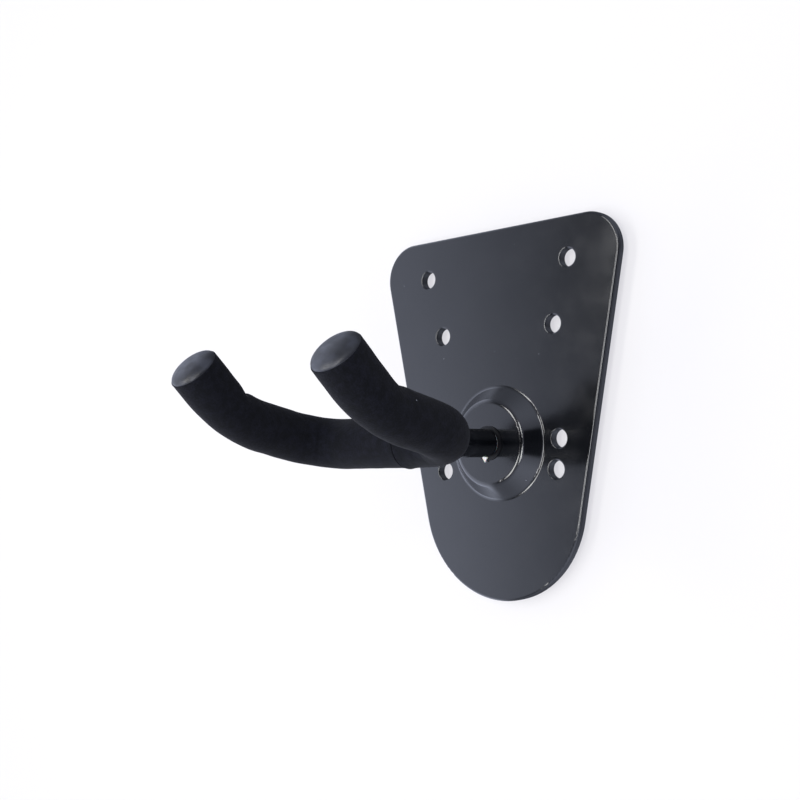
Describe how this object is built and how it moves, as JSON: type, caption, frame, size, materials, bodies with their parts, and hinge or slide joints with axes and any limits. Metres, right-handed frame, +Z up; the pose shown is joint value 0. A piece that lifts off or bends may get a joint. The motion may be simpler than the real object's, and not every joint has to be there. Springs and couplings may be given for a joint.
{
  "type": "wall guitar hanger",
  "caption": "Wall guitar hanger: a domed steel wall plate carries a swivelling U-shaped yoke with foam-covered, upturned arms and domed rubber end caps.",
  "frame": {"origin": "on the wall plane, at the middle of the square of four screw holes", "axes": "+X to the right for someone facing the wall, +Y into the wall, +Z up; the arms reach out along -Y"},
  "size_m": [0.109, 0.1231, 0.138],
  "materials": {
    "black_powder_coat": "glossy black powder coat",
    "bare_steel": "mill finish",
    "black_nylon": "moulded, satin",
    "white_nylon": "moulded, satin",
    "zinc_plated_steel": "zinc plated",
    "black_foam": "matte closed-cell foam",
    "black_rubber": "satin moulded rubber"
  },
  "bodies": {
    "wall_mount": {"wall_plate": "black_powder_coat", "pivot_bush": "black_nylon", "thrust_washer": "white_nylon"},
    "yoke": {"stem": "black_powder_coat", "stem_weld": "black_powder_coat", "tab_washer": "white_nylon", "backing_shim": "zinc_plated_steel", "spring_washer": "zinc_plated_steel", "lock_nut": "zinc_plated_steel", "yoke_rod": "bare_steel", "foam_sleeve_left": "black_foam", "foam_sleeve_right": "black_foam", "end_cap_left": "black_rubber", "end_cap_right": "black_rubber"}
  },
  "joints": [
    {"name": "yoke_swivel", "type": "hinge", "parent": "wall_mount", "child": "yoke", "pos_m": [0, -0.009, -0.016], "axis": [0, -1, 0], "continuous": true}
  ]
}
